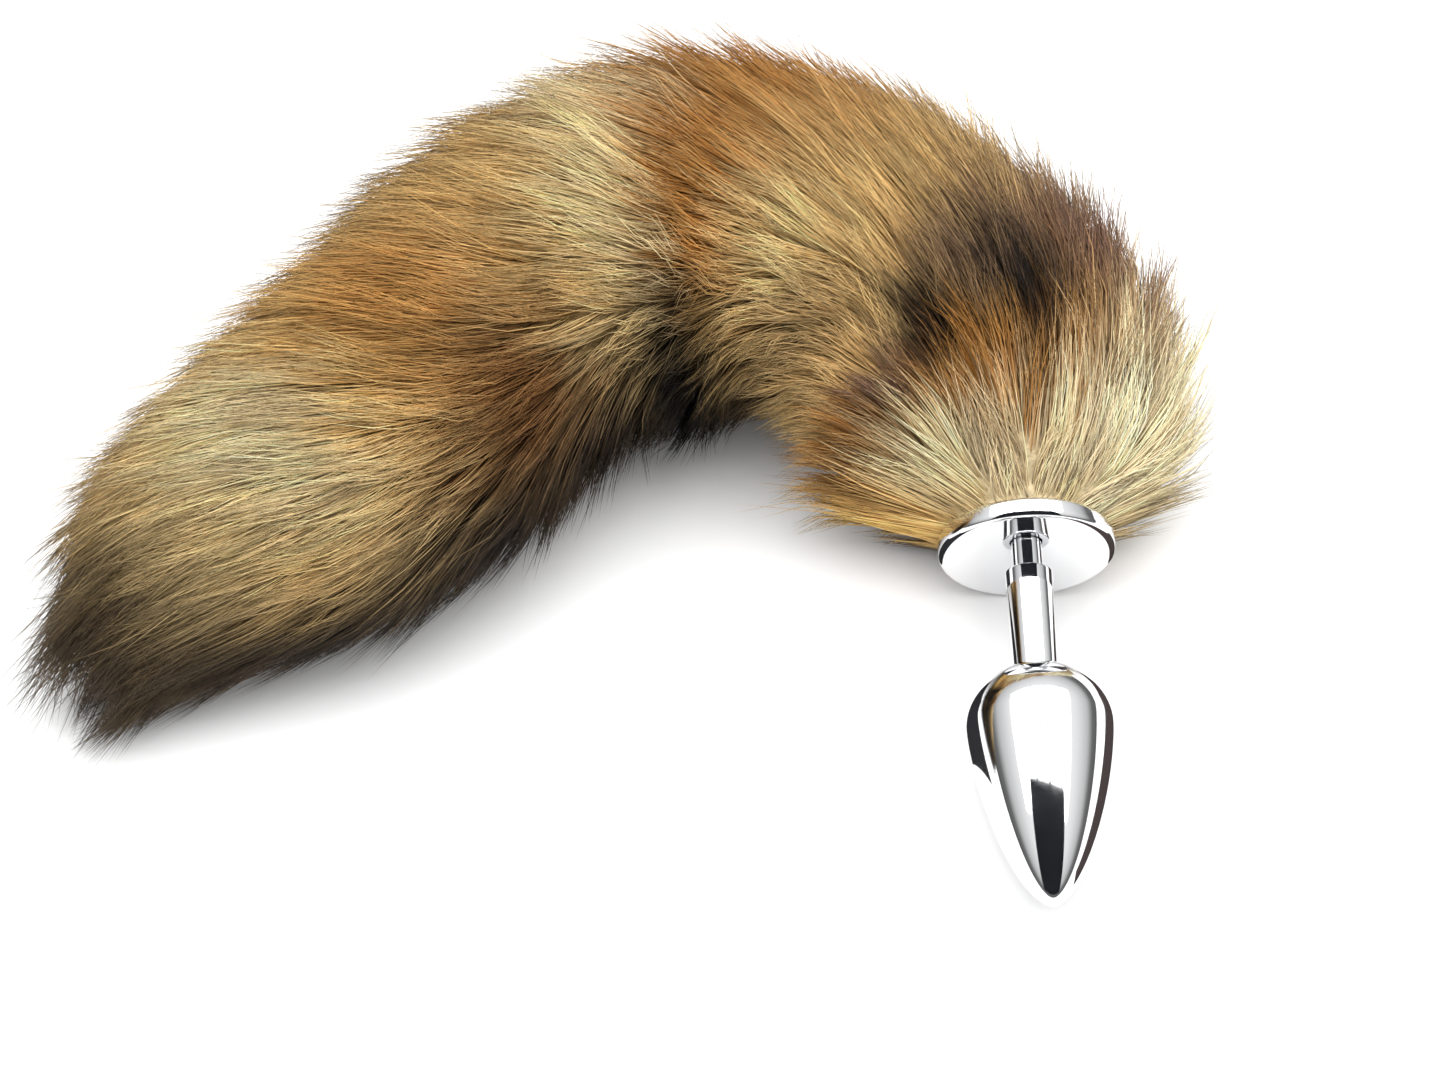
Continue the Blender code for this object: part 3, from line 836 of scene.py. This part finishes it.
def makeHideMaterial():
    material, tree, shader = newMaterial("foxUnderfur", palette["grey"])
    paint = addNode(tree, "ShaderNodeAttribute", attribute_name="furColour")
    place = addNode(tree, "ShaderNodeTexCoord").outputs["Object"]
    tone = useGroup(tree, toneGroup, Vector=place, Colour=paint.outputs["Color"], Scale=700.0, Amount=0.5)
    tree.links.new(tone.outputs["Colour"], shader.inputs["Base Color"])
    shader.inputs["Roughness"].default_value = 0.9
    shader.inputs["Specular IOR Level"].default_value = 0.1
    bump = addNode(tree, "ShaderNodeBump")
    bump.inputs["Strength"].default_value = 0.8
    bump.inputs["Distance"].default_value = 0.001
    tree.links.new(tone.outputs["Mask"], bump.inputs["Height"])
    tree.links.new(bump.outputs["Normal"], shader.inputs["Normal"])
    return material


foxHair = makeHairMaterial()
foxUnderfur = makeHideMaterial()

hide = {
    "columns": 96,
    "rows": 130,
    "depth": 0.22,
    "relief": 0.05,
    "end": 0.94,
    # how dark the painted shade on the hide is
    "shade": 0.62,
    "seed": 5,
}


def socketRing(columns, deep):
    # ring of the round socket that the ferrule fills
    radius = tail["ferruleDiameter"] / 2 + plug["clearance"]
    side = plugSide
    up = side.cross(plugAxis)
    middle = faceCentre + plugAxis * ((plug["flangeThickness"] + plug["clearance"] + deep) * mm)
    angles = np.linspace(-math.pi / 2, math.pi * 1.5, columns, endpoint=False)
    return [tuple(middle + radius * mm * (side * math.cos(a) + up * math.sin(a))) for a in angles]


def makeHide():
    # closed skin under the hairs, with the socket at its front
    columns = hide["columns"]
    random = np.random.default_rng(hide["seed"])
    stations = np.linspace(0.0, tail["length"] * hide["end"], hide["rows"])
    angles = np.linspace(-math.pi / 2, math.pi * 1.5, columns, endpoint=False)
    station, angle = np.meshgrid(stations, angles, indexing="ij")
    depth = hide["depth"] + hide["relief"] * random.uniform(-1, 1, station.shape)
    depth += innerBody(station / tail["length"], angle)
    skin = furPoint(station, angle, depth).reshape(-1, 3)
    rings = socketRing(columns, tail["ferruleLength"] + plug["clearance"]) + socketRing(columns, 0.0)
    vertices = rings + skin.tolist()
    rows = len(vertices) // columns
    faces = []
    for row in range(rows - 1):
        for column in range(columns):
            beside = (column + 1) % columns
            first = row * columns
            faces.append((first + column, first + beside, first + columns + beside, first + columns + column))
    faces.append(tuple(reversed(range(columns))))
    faces.append(tuple(range((rows - 1) * columns, rows * columns)))
    mesh = bpy.data.meshes.new("furHide")
    mesh.from_pydata(vertices, [], faces)
    mesh.materials.append(foxUnderfur)
    mesh.shade_smooth()
    share = np.concatenate((np.zeros(2 * columns), station.ravel() / tail["length"]))
    around = np.degrees(np.concatenate((angles, angles, angle.ravel())))
    colour = np.ones((len(vertices), 4), np.float32)
    # painted shade: the hide darker than the hairs over it, as in the gaps between locks
    colour[:, :3] = coatColour(share, around) * hide["shade"]
    painted = mesh.color_attributes.new("furColour", "FLOAT_COLOR", "POINT")
    painted.data.foreach_set("color", colour.ravel())
    piece = bpy.data.objects.new("furHide", mesh)
    bpy.context.scene.collection.objects.link(piece)
    return piece


def growHair(name, firstRow, lastRow, weight, tree, step):
    # one piece of the coat, as a plain mesh
    skin = hairSkin(name + "Skin", firstRow, lastRow)
    modifier = skin.modifiers.new("strands", "NODES")
    modifier.node_group = tree
    values = {
        "Density": hair["strands"] / weight,
        "Clump Density": 1 / (hair["clumpSpacing"] * mm) ** 2,
        "Radius": hair["radius"] * mm,
        "Shortest": hair["shortest"],
        "Longest": hair["longest"],
        "Clumping": hair["clumping"],
        "Clump Stray": hair["clumpStray"] * mm,
        "Wave": hair["wave"] * mm,
        "Wave Scale": hair["waveScale"],
        "Frizz": hair["frizz"] * mm,
        "Flyaways": hair["flyaways"],
        "Flyaway Reach": hair["flyawayReach"],
        "Sides": hair["sides"],
        "Segments": hair["segments"],
        "Seed": hair["seed"] + 10 * step,
        "Material": foxHair,
    }
    for socket in tree.interface.items_tree:
        if socket.in_out == "INPUT" and socket.name in values:
            modifier[socket.identifier] = values[socket.name]
    graph = bpy.context.evaluated_depsgraph_get()
    mesh = bpy.data.meshes.new_from_object(skin.evaluated_get(graph))
    skin.modifiers.remove(modifier)
    bpy.data.objects.remove(skin)
    mesh.name = name
    part = readAttribute(mesh, "part", 1)
    reach = part * readAttribute(mesh, "long", 1)
    lie = readAttribute(mesh, "lie", 3)
    turn = readAttribute(mesh, "turn", 1)
    share = (lie[:, 0] + lie[:, 2] * reach) / tail["length"]
    chance = readAttribute(mesh, "chance", 3)
    paintCoat(mesh, share, lie[:, 1] + turn * reach, part, chance, readAttribute(mesh, "clumpChance", 3))
    places = np.empty(len(mesh.vertices) * 3, np.float32)
    mesh.vertices.foreach_get("co", places)
    places[2::3] = np.maximum(places[2::3], 0.0002)
    mesh.vertices.foreach_set("co", places)
    for spare in ("part", "rim", "long", "lie", "turn", "chance", "stray", "root", "middle", "tip",
                  "clumpRoot", "clumpMiddle", "clumpTip", "clumpChance", "cover", "free", "loose"):
        if spare in mesh.attributes:
            mesh.attributes.remove(mesh.attributes[spare])
    mesh.shade_smooth()
    piece = bpy.data.objects.new(name, mesh)
    bpy.context.scene.collection.objects.link(piece)
    triangles = sum(len(face.vertices) - 2 for face in mesh.polygons)
    print(name, "triangles", triangles)
    return piece


furHide = makeHide()
print("hide made")

strands = strandTree()
weights = rowAreas()
passed = np.concatenate(((0.0,), np.cumsum(weights)))
pieceCount = len(hair["pieces"])
cuts = [int(np.searchsorted(passed, passed[-1] * k / pieceCount)) for k in range(pieceCount)]
cuts.append(hair["rows"] - 1)
coatPieces = []
for step, name in enumerate(hair["pieces"]):
    weight = passed[cuts[step + 1]] - passed[cuts[step]]
    coatPieces.append(growHair(name, cuts[step], cuts[step + 1], weight, strands, step))
print("hair grown")


# Pieces ride on the frame's one body
for piece, replaced, slot in (
    (polishedFlange, "base_flange", "polished_metal"),
    (polishedHead, "plug_head", "polished_metal"),
    (furHide, "tail_fur", "fox_fur"),
):
    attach(piece, "root")
    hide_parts(replaced)
for piece in coatPieces:
    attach(piece, "root")


# Stage: white floor, soft light, camera
stage = {
    "floorSize": 6.0,
    "floorColour": (0.95, 0.95, 0.95),
    "lampCount": 5,
    "lampPower": 5.0,
    "lampSize": (0.40, 1.5),
    "lampStep": 0.47,
    "lampPlace": (-0.06, 0.22, 1.15),  # the middle lamp
    "sky": ((0.0, 0.10), (0.16, 0.16), (0.32, 0.55), (0.60, 0.85), (0.90, 1.05)),  # height, brightness
    "openSky": 1.0,  # what the camera sees past the floor
}

# Dark cards that only reflections see, as round any polished thing in a studio. The first
# stands on the camera's side and makes the bar on the bulb; the others lie beside the plug
# and draw its outline. Millimetres from the flange's face: beside the axis, in front of it.
frontCard = {
    "distance": 500.0,
    "elevation": 41.0,
    "turn": -1.0,
    "halfWidth": 345.0,
    "halfHeight": 330.0,
    "colour": (0.012, 0.013, 0.016),
}
edgeCards = (
    ("leftEdgeCard", ((-21, -8), (-16, 36), (-60, 42), (-60, -8)), (0.02, 0.02, 0.022)),
    ("rightEdgeCard", ((21, -8), (19, 70), (60, 80), (60, -8)), (0.045, 0.034, 0.034)),
)

cameraSetup = {
    "target": (-58.0, 16.6),  # beside and behind the flange's face, on the floor
    "distance": 646.345,
    "elevation": 56.5,
    "lens": 82.5,
    "sensor": 36.0,
}


def makeFloor():
    half = stage["floorSize"] / 2
    mesh = bpy.data.meshes.new("floor")
    mesh.from_pydata([(-half, -half, 0), (half, -half, 0), (half, half, 0), (-half, half, 0)], [], [(0, 1, 2, 3)])
    material, tree, shader = newMaterial("whiteTable", stage["floorColour"])
    shader.inputs["Roughness"].default_value = 0.7
    shader.inputs["Specular IOR Level"].default_value = 0.2
    mesh.materials.append(material)
    floor = bpy.data.objects.new("floor", mesh)
    bpy.context.scene.collection.objects.link(floor)


def aim(thing, target):
    thing.rotation_euler = (Vector(target) - thing.location).to_track_quat("-Z", "Y").to_euler()


def makeLamps():
    # a row of long soft lamps overhead, whose gaps show as pale bands on the metal
    middle = Vector(stage["lampPlace"])
    for number in range(stage["lampCount"]):
        data = bpy.data.lights.new("stripLamp", "AREA")
        data.shape = "RECTANGLE"
        data.size, data.size_y = stage["lampSize"]
        data.energy = stage["lampPower"]
        lamp = bpy.data.objects.new("stripLamp", data)
        beside = (number - (stage["lampCount"] - 1) / 2) * stage["lampStep"]
        lamp.location = middle + Vector((beside, 0.0, 0.0))
        bpy.context.scene.collection.objects.link(lamp)


def makeSky():
    # pale overhead and dark at the horizon, as the metal sees it
    world = bpy.data.worlds.new("studio")
    bpy.context.scene.world = world
    world.use_nodes = True
    tree = world.node_tree
    way = addNode(tree, "ShaderNodeSeparateXYZ")
    tree.links.new(addNode(tree, "ShaderNodeTexCoord").outputs["Generated"], way.inputs["Vector"])
    ramp = addNode(tree, "ShaderNodeValToRGB")
    tree.links.new(way.outputs["Z"], ramp.inputs["Fac"])
    elements = ramp.color_ramp.elements
    while len(elements) < len(stage["sky"]):
        elements.new(0.5)
    for element, (height, brightness) in zip(elements, stage["sky"]):
        element.position = height
        element.color = (brightness, brightness, brightness, 1.0)
    seen = addNode(tree, "ShaderNodeMix", data_type="RGBA")
    tree.links.new(addNode(tree, "ShaderNodeLightPath").outputs["Is Camera Ray"], seen.inputs[0])
    tree.links.new(ramp.outputs["Color"], seen.inputs[6])
    seen.inputs[7].default_value = (stage["openSky"],) * 3 + (1.0,)
    tree.links.new(seen.outputs[2], tree.nodes["Background"].inputs["Color"])


def makeCard(name, corners, colour):
    mesh = bpy.data.meshes.new(name)
    mesh.from_pydata(corners, [], [(0, 1, 2, 3)])
    material, tree, shader = newMaterial(name + "Cloth", colour)
    shader.inputs["Roughness"].default_value = 1.0
    shader.inputs["Specular IOR Level"].default_value = 0.0
    mesh.materials.append(material)
    card = bpy.data.objects.new(name, mesh)
    bpy.context.scene.collection.objects.link(card)
    card.visible_camera = False
    card.visible_diffuse = False
    card.visible_shadow = False


def makeFrontCard():
    rise = math.radians(frontCard["elevation"])
    turn = math.radians(frontCard["turn"])
    way = Vector((math.sin(turn) * math.cos(rise), -math.cos(turn) * math.cos(rise), math.sin(rise)))
    side = way.cross(Vector((0.0, 0.0, 1.0))).normalized() * frontCard["halfWidth"] * mm
    up = side.cross(way).normalized() * frontCard["halfHeight"] * mm
    middle = faceCentre + way * frontCard["distance"] * mm
    corners = (middle - side - up, middle + side - up, middle + side + up, middle - side + up)
    makeCard("frontCard", corners, frontCard["colour"])


def makeEdgeCards():
    level = Vector((faceCentre.x, faceCentre.y, 0.05 * mm))
    ahead = plugSide.cross(Vector((0.0, 0.0, 1.0)))
    for name, places, colour in edgeCards:
        corners = [level + (plugSide * beside + ahead * front) * mm for beside, front in places]
        makeCard(name, corners, colour)


def makeCamera():
    data = bpy.data.cameras.new("camera")
    data.lens = cameraSetup["lens"]
    data.sensor_width = cameraSetup["sensor"]
    data.clip_start = 0.01
    camera = bpy.data.objects.new("camera", data)
    target = Vector((faceCentre.x, faceCentre.y, 0.0)) + Vector(cameraSetup["target"]).to_3d() * mm
    rise = math.radians(cameraSetup["elevation"])
    camera.location = target + Vector((0, -math.cos(rise), math.sin(rise))) * cameraSetup["distance"] * mm
    bpy.context.scene.collection.objects.link(camera)
    aim(camera, target)
    bpy.context.scene.camera = camera


makeFloor()
makeLamps()
makeSky()
makeFrontCard()
makeEdgeCards()
makeCamera()
bpy.context.scene.view_settings.view_transform = "Standard"
print("stage set")
